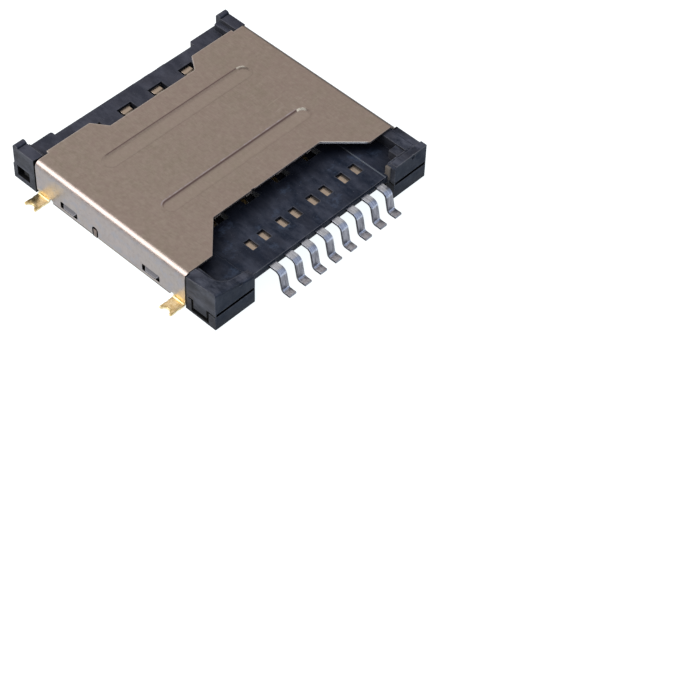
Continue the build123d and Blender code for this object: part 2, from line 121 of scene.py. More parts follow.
MOULDING_COLOURS = {
    "black": (0.008, 0.013, 0.026),
    "smear": (0.072, 0.080, 0.112),
    "flow": (0.022, 0.022, 0.030),
    # painted light on the rear top faces
    "lit rear top": (0.042, 0.044, 0.064),
    "underside": (0.018, 0.025, 0.037),
    "pore": (0.075, 0.080, 0.095),
    "wipe": (0.090, 0.100, 0.125),
    # painted shade on the front deck and the sheet's painted shadow
    "front deck shade": (0.006, 0.012, 0.028),
    "sheet shadow on deck": (0.002, 0.003, 0.008),
    "blue cloud": (0.060, 0.085, 0.140),
    "pale speck": (0.22, 0.23, 0.26),
    # painted shade on faces turned to -Y
    "front face shade": (0.003, 0.009, 0.022),
    # painted light on faces turned to -X
    "side light tint": (0.034, 0.033, 0.034),
    # painted highlight along edges
    "edge highlight": (0.145, 0.150, 0.175),
    # painted shade in hollows
    "hollow shade": (0.002, 0.002, 0.004),
    # painted shade in recesses and gaps
    "recess shade": (0.0015, 0.0015, 0.002),
    # painted highlights on the step and the rib
    "step": (0.26, 0.30, 0.36),
    "front rib highlight": (0.150, 0.130, 0.110),
    # painted shade around rims and painted reflection on the catches
    "rim shade": (0.003, 0.003, 0.004),
    "catch_reflection": (0.25, 0.245, 0.27),
    "key": (0.17, 0.130, 0.115),
}

CONTACT_COLOURS = {
    "dark line": (0.115, 0.117, 0.138),
    "pale line": (0.290, 0.293, 0.335),
    # painted light on faces turned upwards
    "dark line lit from above": (0.46, 0.51, 0.64),
    "pale line lit from above": (0.74, 0.82, 1.0),
    "foot": (0.36, 0.33, 0.37),
    "mottle": (0.165, 0.165, 0.185),
    # painted shade along the strip's edges
    "dark edge": (0.060, 0.058, 0.066),
    "between the decks": (0.52, 0.45, 0.40),
    "sheared side": (0.030, 0.028, 0.034),
    "gold": (0.74, 0.52, 0.22),
}

# The studio's light from front to back, by the y of its direction
SKY = (
    (-0.98, (0.34, 0.37, 0.43)),
    (-0.75, (0.46, 0.48, 0.55)),
    (-0.45, (0.46, 0.48, 0.55)),
    (-0.20, (0.36, 0.39, 0.44)),
    (0.15, (0.66, 0.592, 0.506)),
    (0.98, (0.70, 0.627, 0.536)),
)

# The studio's lamps: place and size in millimetres, power and colour
SOFTBOXES = {
    "side_box": ((-185, 180, 236), 290, 0.95, (1.0, 0.98, 0.96)),
    "front_box": ((-150, -144, 212), 125, 0.17, (0.94, 0.97, 1.0)),
}

CAMERA_PLACE = (-65.329, -68.852, 95.172)
CAMERA_TURN = (40.449, -1.804, -46.4586)
CAMERA_LENS = 114.72
FLOOR_REACH = 3.0
FLOOR_DROP = 0.004

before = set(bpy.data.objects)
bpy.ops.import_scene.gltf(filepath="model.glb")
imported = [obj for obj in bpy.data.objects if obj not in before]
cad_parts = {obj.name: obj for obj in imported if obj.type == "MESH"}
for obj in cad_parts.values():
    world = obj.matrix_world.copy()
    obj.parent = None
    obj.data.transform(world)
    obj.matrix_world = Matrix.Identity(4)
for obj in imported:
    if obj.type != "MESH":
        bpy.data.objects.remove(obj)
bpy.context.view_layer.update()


# Shader building

class Finish:
    """A material with its nodes laid out from left to right, and the tint that its coats build up."""

    def __init__(self, name, colours):
        self.material = bpy.data.materials.new(name)
        self.material.use_nodes = True
        self.tree = self.material.node_tree
        self.shader = self.tree.nodes["Principled BSDF"]
        self.colours = colours
        self.tint = None
        self.column = -1400

    def add(self, kind, **settings):
        node = self.tree.nodes.new(kind)
        node.location = (self.column, 0)
        self.column += 60
        for key, value in settings.items():
            setattr(node, key, value)
        return node

    def join(self, source, target):
        self.tree.links.new(source, target)

    def feed(self, socket, value):
        """Give a socket either a number or the output of another node."""
        if isinstance(value, bpy.types.NodeSocket):
            self.join(value, socket)
        else:
            socket.default_value = value

    def place(self, stretch=(1, 1, 1), turn=(0, 0, 0)):
        """Object coordinates in millimetres, stretched or turned."""
        coordinates = self.add("ShaderNodeTexCoord")
        mapping = self.add("ShaderNodeMapping")
        mapping.inputs["Scale"].default_value = [s / MM for s in stretch]
        mapping.inputs["Rotation"].default_value = [math.radians(a) for a in turn]
        self.join(coordinates.outputs["Object"], mapping.inputs["Vector"])
        return mapping.outputs["Vector"]

    def axes(self):
        """The three object coordinates in millimetres, each by itself."""
        split = self.add("ShaderNodeSeparateXYZ")
        self.join(self.place(), split.inputs["Vector"])
        return split.outputs

    def normals(self):
        """The three parts of the direction that a face looks in."""
        split = self.add("ShaderNodeSeparateXYZ")
        self.join(self.add("ShaderNodeNewGeometry").outputs["True Normal"], split.inputs["Vector"])
        return split.outputs

    def openness(self, reach, inside=False):
        """One on a plain face, less near a corner or, seen from inside, near an edge; reach in mm."""
        node = self.add("ShaderNodeAmbientOcclusion", samples=5, inside=inside)
        node.inputs["Distance"].default_value = reach * MM
        return node.outputs["AO"]

    def noise(self, place, scale, detail=3.0, roughness=0.5):
        node = self.add("ShaderNodeTexNoise")
        node.inputs["Scale"].default_value = scale
        node.inputs["Detail"].default_value = detail
        node.inputs["Roughness"].default_value = roughness
        self.join(place, node.inputs["Vector"])
        return node.outputs["Fac"]

    def specks(self, place, scale, size):
        """One inside small round specks, zero elsewhere."""
        node = self.add("ShaderNodeTexVoronoi")
        node.inputs["Scale"].default_value = scale
        self.join(place, node.inputs["Vector"])
        return self.span(node.outputs["Distance"], size, size * 0.5)

    def span(self, value, low, high, to_low=0.0, to_high=1.0):
        """Stretch a value from one range to another and stop at its ends."""
        node = self.add("ShaderNodeMapRange")
        self.feed(node.inputs["Value"], value)
        limits = {"From Min": low, "From Max": high, "To Min": to_low, "To Max": to_high}
        for key, number in limits.items():
            node.inputs[key].default_value = number
        return node.outputs["Result"]

    def maths(self, operation, first, second=0.0):
        node = self.add("ShaderNodeMath", operation=operation)
        self.feed(node.inputs[0], first)
        self.feed(node.inputs[1], second)
        return node.outputs[0]

    def both(self, first, *others):
        """The share where all the given shares hold."""
        for other in others:
            first = self.maths("MULTIPLY", first, other)
        return first

    def either(self, first, *others):
        """The largest of the given shares."""
        for other in others:
            first = self.maths("MAXIMUM", first, other)
        return first

    def beside(self, value, places, inner, outer):
        """One within a distance of any of the places, zero further out."""
        apart = [self.maths("ABSOLUTE", self.maths("SUBTRACT", value, place)) for place in places]
        return self.either(*(self.span(distance, outer, inner) for distance in apart))

    def within(self, value, low, high, soft=0.01):
        """One between two limits, zero outside them."""
        above = self.span(value, low - soft, low + soft)
        below = self.span(value, high + soft, high - soft)
        return self.both(above, below)

    def blend(self, share, first, second):
        """Mix two colours by a share; each is a name in the finish's list or another node's output."""
        node = self.add("ShaderNodeMix", data_type="RGBA")
        self.feed(node.inputs[0], share)
        sockets = [s for s in node.inputs if s.type == "RGBA"]
        for socket, colour in zip(sockets, (first, second)):
            self.feed(socket, (*self.colours[colour], 1) if isinstance(colour, str) else colour)
        return [s for s in node.outputs if s.type == "RGBA"][0]

    def coat(self, share, colour):
        """Lay a colour over the tint by a share from zero to one."""
        self.tint = self.blend(share, self.tint, colour)

    def relief(self, height, strength, depth, under=None):
        node = self.add("ShaderNodeBump")
        node.inputs["Strength"].default_value = strength
        node.inputs["Distance"].default_value = depth * MM
        self.join(height, node.inputs["Height"])
        if under is not None:
            self.join(under, node.inputs["Normal"])
        return node.outputs["Normal"]

    def finished(self, roughness, bumps, metallic=None, specular=None):
        """The material, with its tint, roughness and bumps joined to the shader."""
        self.join(self.tint, self.shader.inputs["Base Color"])
        self.join(roughness, self.shader.inputs["Roughness"])
        self.join(bumps, self.shader.inputs["Normal"])
        if metallic is not None:
            self.shader.inputs["Metallic"].default_value = metallic
        if specular is not None:
            self.shader.inputs["Specular IOR Level"].default_value = specular
        return self.material


def shield_finish():
    """Plated sheet with a dull mottled grain, ribs drawn out in painted shade and highlights, painted shade
    on the walls, the hem and the far bend, painted highlights on the cut edges, and gold solder tabs with a
    painted reflection above them.
    """
    finish = Finish("shield_sheet", SHEET_COLOURS)
    x, y, z = finish.axes()
    sideways, _, up = finish.normals()
    clouds = finish.noise(finish.place(), scale=0.28, roughness=0.55)
    tints = finish.noise(finish.place(turn=(20, 10, 0)), scale=1.7, detail=4.0, roughness=0.6)
    mottle = finish.noise(finish.place(), scale=4.0, detail=6.0, roughness=0.72)
    grain = finish.noise(finish.place((1, 0.06, 0.06), (0, 0, 4)), scale=26.0, roughness=0.6)
    finish.tint = finish.blend(finish.span(clouds, 0.40, 0.60), "warm grey", "rosy grey")
    finish.coat(finish.span(tints, 0.38, 0.62, to_high=0.7), "pink cloud")
    finish.coat(finish.span(mottle, 0.38, 0.64, to_high=0.75), "pale mottle")
    finish.coat(finish.span(grain, 0.35, 0.7, to_high=0.45), "drawn grain")
    outward = finish.maths("ABSOLUTE", x)
    on_wall = finish.span(outward, WALL_FACE - 0.12, WALL_FACE - 0.02)
    wall_marks(finish, on_wall, tints, mottle)
    finish.coat(finish.both(scuffs(finish, x, y), finish.span(up, 0.90, 0.98)), "scuff")
    # Painted shade: a darker band along the sheet's +X bend
    far_bend_shade = finish.both(finish.span(x, *FAR_BEND, to_high=0.90),
                           finish.span(z, TOP_HEIGHT, TOP_HEIGHT + 0.05))
    finish.coat(far_bend_shade, "far bend shade")
    # Bright cut faces and edges: partly bright cut metal, partly painted highlight
    cut_highlight = cut_edges_and_highlights(finish, outward, x, y, z, up)
    finish.coat(cut_highlight, "bright cut")
    rib_end_highlight = rib_lines(finish, x, y, mottle)
    # Painted shade: the cut faces inside the wall's windows made nearly black
    window_cut_shade = finish.both(finish.span(outward, WALL_FACE - 0.20, WALL_FACE - 0.15),
                             finish.within(z, *WINDOW_HEIGHTS, 0.04),
                             finish.span(finish.maths("ABSOLUTE", sideways), 0.60, 0.30))
    finish.coat(window_cut_shade, "window cut shade")
    foot = finish.both(on_wall, finish.within(z, WALL_FOOT, WALL_FOOT + 0.09, 0.02),
                       finish.span(tints, 0.48, 0.60, to_high=0.5))
    finish.coat(foot, "brassy foot")
    # Painted shade: a dark band at the foot of the wall between the tabs
    off_tabs = finish.maths("SUBTRACT", 1.0,
                            finish.beside(y, TAB_PLACES, TAB_HALF + 0.02, TAB_HALF + 0.08))
    hem_shade = finish.both(on_wall, finish.span(z, WALL_FOOT + 0.08, WALL_FOOT + 0.01, to_high=0.75), off_tabs)
    finish.coat(hem_shade, "hem shade")
    # Gold tabs, with a painted reflection of them on the wall above
    gold = tab_gold_and_reflection(finish, outward, on_wall, y, z, tints)
    finish.coat(gold, finish.blend(finish.span(mottle, 0.42, 0.62), "deep gold", "pale gold"))
    dull = finish.span(mottle, 0.3, 0.7, 0.30, 0.42)
    dull = finish.maths("ADD", dull, finish.both(cut_highlight, 0.20))
    dull = finish.maths("SUBTRACT", dull, finish.both(rib_end_highlight, 0.20))
    dull = finish.maths("SUBTRACT", dull, finish.both(gold, 0.06))
    scratches = finish.noise(finish.place((0.05, 1, 1), (0, 0, -31)), scale=30.0, detail=2.0)
    bumps = finish.relief(mottle, strength=0.45, depth=0.01)
    bumps = finish.relief(grain, strength=0.16, depth=0.01, under=bumps)
    bumps = finish.relief(finish.span(scratches, 0.62, 0.75), strength=0.10, depth=0.01, under=bumps)
    return finish.finished(dull, bumps, metallic=1.0)


def wall_marks(finish, on_wall, tints, mottle):
    """Darken the walls with painted shade, and draw upright streaks, cool blotches and brown stains on
    them.
    """
    upright = finish.noise(finish.place((0.1, 1, 0.12)), scale=9.0, detail=4.0, roughness=0.65)
    # Painted shade: the walls made darker than the top
    finish.coat(finish.both(on_wall, 0.42), "wall")
    for marks, colour in ((finish.span(upright, 0.35, 0.70, to_high=0.40), "wall streak"),
                          (finish.span(tints, 0.50, 0.60, to_high=0.75), "wall blotch"),
                          (finish.span(mottle, 0.46, 0.38, to_high=0.45), "wall stain")):
        finish.coat(finish.both(on_wall, marks), colour)


def scuffs(finish, x, y):
    """Short fine rub marks on the top of the sheet, mostly towards +X."""
    long_marks = finish.noise(finish.place((0.13, 1, 1), (0, 0, 52)), scale=9.0, detail=2.0)
    short_marks = finish.noise(finish.place((1, 0.14, 1), (0, 0, 28)), scale=9.0, detail=2.0)
    patchy = finish.span(finish.noise(finish.place(), scale=1.3, roughness=0.6), 0.50, 0.62)
    rubbed = finish.both(finish.beside(x, SCUFF_MIDDLE[:1], 1.0, 3.0),
                         finish.beside(y, SCUFF_MIDDLE[1:], 0.8, 3.2))
    marks = finish.either(finish.span(long_marks, 0.57, 0.66), finish.span(short_marks, 0.57, 0.66))
    return finish.both(marks, patchy, finish.span(rubbed, 0.0, 1.0, 0.15, 0.45))


def cut_edges_and_highlights(finish, outward, x, y, z, up):
    """The share of bright metal on the cut faces and along the edges of the sheet's top: partly bright cut
    metal, partly painted highlight, strongest on the front slanted edge.
    """
    on_top = finish.both(finish.span(outward, TOP_HALF + 0.10, TOP_HALF),
                         finish.span(z, TOP_HEIGHT - 0.05, TOP_HEIGHT))
    cut_face = finish.both(on_top, finish.span(finish.maths("ABSOLUTE", up), 0.30, 0.10))
    # Painted highlight along the edges of the top
    lit_edges = finish.both(on_top, finish.span(up, 0.85, 0.95),
                       finish.span(finish.openness(0.09, inside=True), 0.93, 0.60))
    front = finish.both(finish.span(x, 4.2, 4.5), finish.within(y, *HIGHLIT_FRONT, 0.06))
    rear = finish.span(y, 0.0, 6.0, 0.08, 0.40)
    return finish.both(finish.either(cut_face, lit_edges), finish.either(front, rear))


def rib_lines(finish, x, y, patches):
    """Draw out the ribs: painted shade on their +Y sides and far sides, a painted glint along their outer
    edge, and a painted highlight at the +X end, which is returned.
    """
    middle = (RIB_PLACES[0] + RIB_PLACES[1]) / 2
    spread = (RIB_PLACES[0] - RIB_PLACES[1]) / 2
    from_middle = finish.maths("SUBTRACT", y, middle)
    which = finish.maths("SIGN", from_middle)
    across = finish.maths("SUBTRACT", finish.maths("ABSOLUTE", from_middle), spread)
    side = finish.both(across, which)
    past = finish.maths("MAXIMUM", finish.maths("SUBTRACT", finish.maths("ABSOLUTE", x), RIB_END), 0.0)
    squares = finish.maths("ADD", finish.both(past, past), finish.both(across, across))
    edge = finish.maths("SUBTRACT", finish.maths("SQRT", squares), RIB_HALF)
    rear = finish.span(which, -1.0, 1.0)
    edge = finish.maths("SUBTRACT", edge, finish.both(rear, 0.07))
    finish.coat(finish.span(edge, -0.12, -0.20, to_high=0.30), "rib middle")
    before_end = finish.span(x, RIB_END + 0.02, RIB_END - 0.10)
    round_end = finish.both(finish.span(rear, 0.0, 1.0, 1.0, 0.35),
                            finish.span(x, -RIB_END - 0.50, -RIB_END - 0.25))
    from_end = finish.either(finish.span(x, -RIB_END - 0.10, -RIB_END + 0.10), round_end)
    # Painted shadow along each rib's +Y side
    dark = finish.both(finish.within(edge, -0.065, 0.02, 0.03), finish.span(side, -0.20, 0.05),
                       before_end, from_end)
    finish.coat(finish.both(dark, 0.90), "rib shadow")
    # Painted shade on each rib's far side
    far = finish.both(finish.within(edge, -0.05, 0.05, 0.03), finish.span(side, 0.10, -0.20, to_high=0.22))
    finish.coat(far, "rib far side")
    # Painted glint along each rib's outer edge
    rib_glint = finish.both(finish.within(edge, 0.05, 0.10, 0.02), finish.span(side, 0.30, 0.45), before_end,
                       finish.span(rear, 0.5, 0.4), finish.span(patches, 0.40, 0.60, to_low=0.25))
    finish.coat(rib_glint, "rib edge glint")
    # Painted highlight at each rib's +X end
    rib_end_highlight = finish.both(finish.within(edge, -0.10, 0.01, 0.02),
                             finish.span(x, RIB_END - 0.10, RIB_END - 0.02),
                             finish.span(side, 0.06, 0.20),
                             finish.span(x, RIB_END + 0.46, RIB_END + 0.38),
                             finish.span(rear, 0.0, 1.0, 1.0, 0.60))
    finish.coat(rib_end_highlight, "rib end highlight")
    return rib_end_highlight


def tab_gold_and_reflection(finish, outward, on_wall, y, z, patches):
    """One on the solder tabs and the foot of the wall over them, and on a painted reflection of the tabs on
    the wall above them, broken up.
    """
    on_tab = finish.span(outward, WALL_FACE + 0.01, WALL_FACE + 0.06)
    upright = finish.both(on_wall, finish.beside(y, TAB_PLACES, TAB_HALF - 0.02, TAB_HALF + 0.04),
                          finish.span(z, 0.36, 0.30))
    # Painted reflection of the gold tab on the wall
    gold_reflection = finish.both(on_wall, finish.beside(y, TAB_PLACES, TAB_HALF - 0.18, TAB_HALF + 0.14),
                       finish.span(z, 0.62, 0.34), finish.span(patches, 0.40, 0.56, 0.25, 0.80))
    return finish.either(on_tab, upright, gold_reflection)


def moulding_finish():
    """Black glass-filled plastic: satin, cloudy where it flowed, with pale specks, painted highlights on
    its edges, and painted light and shade on its faces and in its hollows.
    """
    finish = Finish("moulded_plastic", MOULDING_COLOURS)
    x, y, z = finish.axes()
    sideways, endways, up = finish.normals()
    bent = finish.noise(finish.place(), scale=0.9, detail=2.0)
    smears = finish.noise(finish.place((1, 0.45, 1), (0, 0, 35)), scale=1.1, detail=6.0, roughness=0.68)
    pores = finish.noise(finish.place(), scale=14.0, detail=4.0, roughness=0.7)
    wipes = finish.noise(finish.place((0.07, 1, 1), (0, 0, -22)), scale=16.0, roughness=0.6)
    finish.tint = finish.blend(finish.span(smears, 0.40, 0.62), "black", "smear")
    finish.coat(finish.span(bent, 0.45, 0.65, to_high=0.5), "flow")
    # Painted light: the top faces towards the rear lightened
    lit_rear_top = finish.both(finish.span(y, 4.5, 5.5), finish.span(up, 0.80, 0.90, to_high=0.5))
    finish.coat(lit_rear_top, "lit rear top")
    finish.coat(finish.span(up, -0.90, -0.98, to_high=0.75), "underside")
    finish.coat(finish.span(pores, 0.40, 0.75, to_high=0.30), "pore")
    finish.coat(finish.span(wipes, 0.62, 0.74, to_high=0.35), "wipe")
    front_deck_shade_and_clouds(finish, y, z, up)
    specks = finish.specks(finish.place(), scale=5.5, size=0.10)
    fewer = finish.span(finish.noise(finish.place(), scale=2.2, detail=2.0), 0.48, 0.56)
    finish.coat(finish.both(specks, fewer, 0.55), "pale speck")
    # Painted shade: faces turned to -Y made darker and bluer
    finish.coat(finish.span(endways, -0.70, -0.95, to_high=0.80), "front face shade")
    # Painted light: faces turned to -X given a neutral grey tone
    finish.coat(finish.span(sideways, -0.80, -0.95, to_high=0.45), "side light tint")
    # Painted highlight along the edges
    lit_edges = finish.span(finish.openness(0.07, inside=True), 0.92, 0.55, to_high=0.75)
    finish.coat(finish.both(lit_edges, finish.span(pores, 0.35, 0.60, to_low=0.3)), "edge highlight")
    step_and_rib_highlights(finish, x, y, z)
    # Painted shade: darker where the surface is closed in
    finish.coat(finish.span(finish.openness(1.60), 0.80, 0.34, to_high=0.94), "hollow shade")
    catches_and_keys(finish, x, y, z, sideways)
    # Painted shade in the recesses and gaps
    finish.coat(shaded_recesses(finish, x, y, z), "recess shade")
    bumps = finish.relief(pores, strength=0.30, depth=0.012)
    bumps = finish.relief(smears, strength=0.15, depth=0.02, under=bumps)
    return finish.finished(finish.span(smears, 0.3, 0.75, 0.60, 0.42), bumps, specular=0.09)


def front_deck_shade_and_clouds(finish, y, z, up):
    """Darken the front of the deck with painted shade, most under the sheet's edge where its shadow is
    painted, and draw blue clouds on it.
    """
    flat_deck = finish.both(finish.span(y, -3.5, -4.5), finish.span(z, DECK_TOP + 0.25, DECK_TOP + 0.15),
                            finish.span(up, 0.8, 0.9))
    finish.coat(finish.both(flat_deck, 0.45), "front deck shade")
    # Painted shadow of the sheet's edge on the deck
    finish.coat(finish.both(flat_deck, finish.span(y, *DECK_SHADE, to_high=0.75)), "sheet shadow on deck")
    clouds = finish.noise(finish.place(), scale=0.75, detail=5.0, roughness=0.7)
    finish.coat(finish.both(flat_deck, finish.span(clouds, 0.56, 0.70, to_high=0.6)), "blue cloud")


def step_and_rib_highlights(finish, x, y, z):
    """A painted highlight along the step at the deck's +X end, and a painted highlight on the rib by the
    corner block.
    """
    front = finish.both(finish.span(y, -5.0, -5.4), finish.span(z, DECK_TOP - 0.08, DECK_TOP - 0.04),
                        finish.span(z, DECK_TOP + 0.12, DECK_TOP + 0.08))
    step = finish.both(front, finish.beside(x, (STEP_PLACE,), 0.015, 0.04))
    # Painted highlight: the step's edge catching the light
    finish.coat(finish.both(step, 0.28), "step")
    # Painted highlight on the rib by the corner block
    rib = finish.both(finish.within(x, *FRONT_RIB[0]), finish.within(y, *FRONT_RIB[1]),
                      finish.span(z, 1.30, 1.45))
    finish.coat(finish.both(rib, 0.65), "front rib highlight")


def catches_and_keys(finish, x, y, z, sideways):
    """The catches and keys in the shield's windows and notches: the catches lightened by a painted
    reflection, the keys tinted brown, with painted shade around the rims.
    """
    outward = finish.maths("ABSOLUTE", x)
    near_wall = finish.span(outward, WALL_FACE - 0.25, WALL_FACE - 0.20)
    face = finish.span(finish.maths("ABSOLUTE", sideways), 0.70, 0.85)
    window = finish.both(near_wall, finish.beside(y, CATCHES, WINDOW_HALF, WINDOW_HALF + 0.04),
                         finish.within(z, WINDOW_HEIGHTS[0] - 0.02, WINDOW_HEIGHTS[1] + 0.02))
    # Painted shade around the window's rim
    finish.coat(window, "rim shade")
    # Painted reflection: the catch's sloped face lightened
    catch_reflection = finish.both(near_wall, finish.beside(y, CATCHES, CATCH_HALF, CATCH_HALF + 0.04),
                        finish.within(z, *CATCH_HEIGHTS, 0.02), face)
    finish.coat(catch_reflection, "catch_reflection")
    # Painted shade around the notch's rim
    notch = finish.both(near_wall, finish.beside(y, (NOTCH,), NOTCH_HALF, NOTCH_HALF + 0.03),
                        finish.span(z, 0.94, 0.90))
    finish.coat(notch, "rim shade")
    key = finish.both(near_wall, finish.beside(y, (NOTCH - 0.04,), KEY_HALF, KEY_HALF + 0.03),
                      finish.span(z, 0.74, 0.70), face)
    finish.coat(key, "key")


def shaded_recesses(finish, x, y, z):
    """One in the narrow hollows between the mouldings and beside the ends of the shield's walls, where
    near-black painted shade goes.
    """
    outward = finish.maths("ABSOLUTE", x)
    inner = finish.both(finish.span(outward, 7.8, 7.9), finish.span(outward, 8.75, 8.735))
    room = finish.both(inner, finish.within(y, *ROOM_ENDS), finish.within(z, 0.19, SEAM + 0.01))
    root = finish.both(inner, finish.within(y, *ROOT_ENDS), finish.within(z, SEAM - 0.11, SEAM + 0.01))
    pocket = finish.both(finish.span(outward, 8.69, 8.66), finish.span(outward, 7.6, 7.7),
                         finish.within(y, *POCKET_ENDS), finish.within(z, 0.34, SEAM + 0.35))
    groove = finish.both(finish.span(y, GROOVE_ENDS[0], GROOVE_ENDS[0] + 0.01),
                         finish.span(y, GROOVE_ENDS[1], GROOVE_ENDS[1] - 0.02),
                         finish.within(z, SEAM - 0.11, SEAM + 0.005, 0.005),
                         finish.span(outward, 5.4, 5.5))
    front_end = finish.within(y, *WALL_ENDS[0], 0.03)
    rear_end = finish.within(y, *WALL_ENDS[1])
    wall_end = finish.both(finish.span(outward, 8.40, 8.45), finish.either(front_end, rear_end))
    tongue = finish.both(finish.within(y, *TONGUE_ENDS, 0.02), finish.span(z, 0.52, 0.56))
    rim = finish.both(finish.span(outward, 8.60, 8.65),
                      finish.within(y, ROOM_ENDS[0] - 0.02, ROOM_ENDS[1] + 0.02, 0.02),
                      finish.within(z, 0.15, SEAM + 0.02, 0.02), finish.maths("SUBTRACT", 1.0, tongue))
    return finish.either(room, root, pocket, groove, wall_end, rim)


def contact_finish():
    """Plated strip with fine drawn lines, painted light on faces turned up, painted shade along its edges,
    dark sheared sides, and gold where it meets a card.
    """
    finish = Finish("contact_strip", CONTACT_COLOURS)
    _, y, z = finish.axes()
    sideways, _, up = finish.normals()
    drawn = finish.noise(finish.place((1, 0.03, 0.03)), scale=34.0, detail=2.0, roughness=0.6)
    mottle = finish.noise(finish.place(), scale=7.0, detail=4.0, roughness=0.65)
    lines = finish.span(drawn, 0.40, 0.60)
    finish.tint = finish.blend(lines, "dark line", "pale line")
    # Painted light: faces turned upwards made lighter and bluer
    lit_from_above = finish.blend(lines, "dark line lit from above", "pale line lit from above")
    finish.coat(finish.span(up, 0.24, 0.55), lit_from_above)
    feet = finish.both(finish.span(z, 0.27, 0.20), finish.span(up, 0.7, 0.9),
                       finish.span(mottle, 0.42, 0.60, 0.2, 0.7))
    finish.coat(feet, "foot")
    finish.coat(finish.span(mottle, 0.4, 0.75, to_high=0.30), "mottle")
    # Painted shade along the strip's edges
    finish.coat(finish.span(finish.openness(0.05, inside=True), 0.90, 0.50, to_high=0.60), "dark edge")
    inside = finish.maths("MINIMUM", finish.span(y, LEAD_ROOTS[0] - 0.05, LEAD_ROOTS[0] + 0.10),
                          finish.span(y, LEAD_ROOTS[1] + 0.05, LEAD_ROOTS[1] - 0.10))
    finish.coat(inside, "between the decks")
    sheared = finish.span(finish.maths("ABSOLUTE", sideways), 0.30, 0.60, to_high=0.92)
    finish.coat(sheared, "sheared side")
    finish.coat(finish.both(finish.beside(y, CONTACT_ROWS, 0.50, 0.62), finish.span(z, 0.50, 0.62)), "gold")
    bumps = finish.relief(drawn, strength=0.20, depth=0.01)
    bumps = finish.relief(mottle, strength=0.12, depth=0.01, under=bumps)
    return finish.finished(finish.span(mottle, 0.3, 0.7, 0.26, 0.38), bumps, metallic=1.0)


# Pieces

def welded(node):
    """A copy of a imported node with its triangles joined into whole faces."""
    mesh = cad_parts[node].data.copy()
    work = bmesh.new()
    work.from_mesh(mesh)
    bmesh.ops.remove_doubles(work, verts=work.verts, dist=SAME_POINT * MM)
    bmesh.ops.dissolve_limit(work, angle_limit=SAME_PLANE, verts=work.verts, edges=work.edges)
    work.to_mesh(mesh)
    work.free()
    mesh.materials.clear()
    return mesh


def finished_mesh(piece):
    """The piece's shape with its modifiers, as a plain mesh; the piece itself goes."""
    bpy.context.view_layer.update()
    seen = piece.evaluated_get(bpy.context.evaluated_depsgraph_get())
    mesh = bpy.data.meshes.new_from_object(seen)
    bpy.data.objects.remove(piece)
    return mesh


def in_scene(name, data):
    thing = bpy.data.objects.new(name, data)
    bpy.context.scene.collection.objects.link(thing)
    return thing


def shown(name, mesh):
    mesh.name = name
    return in_scene(name, mesh)


def on_segment(point, start, end):
    """The point of a straight segment that lies nearest to a given point."""
    share = intersect_point_line(point, start, end)[1]
    return start.lerp(end, min(max(share, 0.0), 1.0))


def room_ahead(loop, sharp):
    """How wide a rounding can reach from an edge across one of its faces before it meets another edge."""
    start, end = loop.vert.co, loop.link_loop_next.vert.co
    inward = loop.face.normal.cross(end - start).normalized()
    after, before = loop.link_loop_next, loop.link_loop_prev
    room = math.inf
    for other, corner, back, far in ((after, end, start, after.link_loop_next.vert.co),
                                     (before, start, end, before.vert.co)):
        turn = (far - corner).angle(back - corner)
        if turn < CUSP:
            return 0.0
        reach = (far - corner).dot(inward)
        if reach > 0 and other.edge in sharp:
            room = min(room, min((far - corner).length, (back - corner).length) * math.tan(turn / 2))
        elif reach > 0:
            room = min(room, 2 * reach)
    for other in loop.face.loops:
        if other in (loop, after, before):
            continue
        first, last = other.vert.co, other.link_loop_next.vert.co
        gaps = [point - on_segment(point, start, end) for point in (first, last)]
        gaps += [on_segment(point, first, last) - point for point in (start, end)]
        room = min([room] + [gap.length for gap in gaps if gap.dot(inward) > AHEAD_SHARE * gap.length])
    return room


def straight_runs(sharp):
    """The sharp edges in runs that go on with hardly a bend, because a run is rounded evenly."""
    left = set(sharp)
    while left:
        run, ends = set(), [left.pop()]
        while ends:
            edge = ends.pop()
            run.add(edge)
            for corner in edge.verts:
                along = corner.co - edge.other_vert(corner).co
                following = [other for other in corner.link_edges if other in left
                             and along.angle(other.other_vert(corner).co - corner.co) < BEND]
                left.difference_update(following)
                ends += following
        yield run


def mark_soft_edges(mesh, edge_width, tight_heights):
    """Weight the sharp edges for rounding: less in narrow places, none where plastic closes on a strip."""
    work = bmesh.new()
    work.from_mesh(mesh)
    weight = work.edges.layers.float.new("bevel_weight_edge")
    sharp = {edge for edge in work.edges
             if len(edge.link_faces) == 2 and edge.calc_face_angle() >= SOFT_ANGLE
             and not any(abs(v.co.z / MM - z) < SAME_HEIGHT for v in edge.verts for z in tight_heights)}
    rooms = {edge: min(room_ahead(loop, sharp) for loop in edge.link_loops) for edge in sharp}
    for run in straight_runs(sharp):
        share = min(1.0, ROOM_SHARE * min(rooms[edge] for edge in run) / MM / edge_width)
        for edge in run:
            edge[weight] = share if share > LEAST_SHARE else 0.0
    work.to_mesh(mesh)
    work.free()


def with_soft_edges(name, mesh, material, edge_width, tight_heights=()):
    """An object whose sharp edges are rounded by a small width, in millimetres."""
    mesh.materials.clear()
    mesh.materials.append(material)
    mark_soft_edges(mesh, edge_width, tight_heights)
    raw = shown(name + "_raw", mesh)
    bevel = raw.modifiers.new("edges", "BEVEL")
    bevel.width = edge_width * MM
    bevel.segments = 2
    bevel.limit_method = "WEIGHT"
    bevel.use_clamp_overlap = False
    rounded = finished_mesh(raw)
    for polygon in rounded.polygons:
        polygon.use_smooth = True
    rounded.set_sharp_from_angle(angle=SHADED_ANGLE)
    piece = shown(name + "_rounded", rounded)
    flats = piece.modifiers.new("flats", "WEIGHTED_NORMAL")
    flats.mode = "FACE_AREA"
    flats.weight = 100
    flats.keep_sharp = True
    return shown(name, finished_mesh(piece))


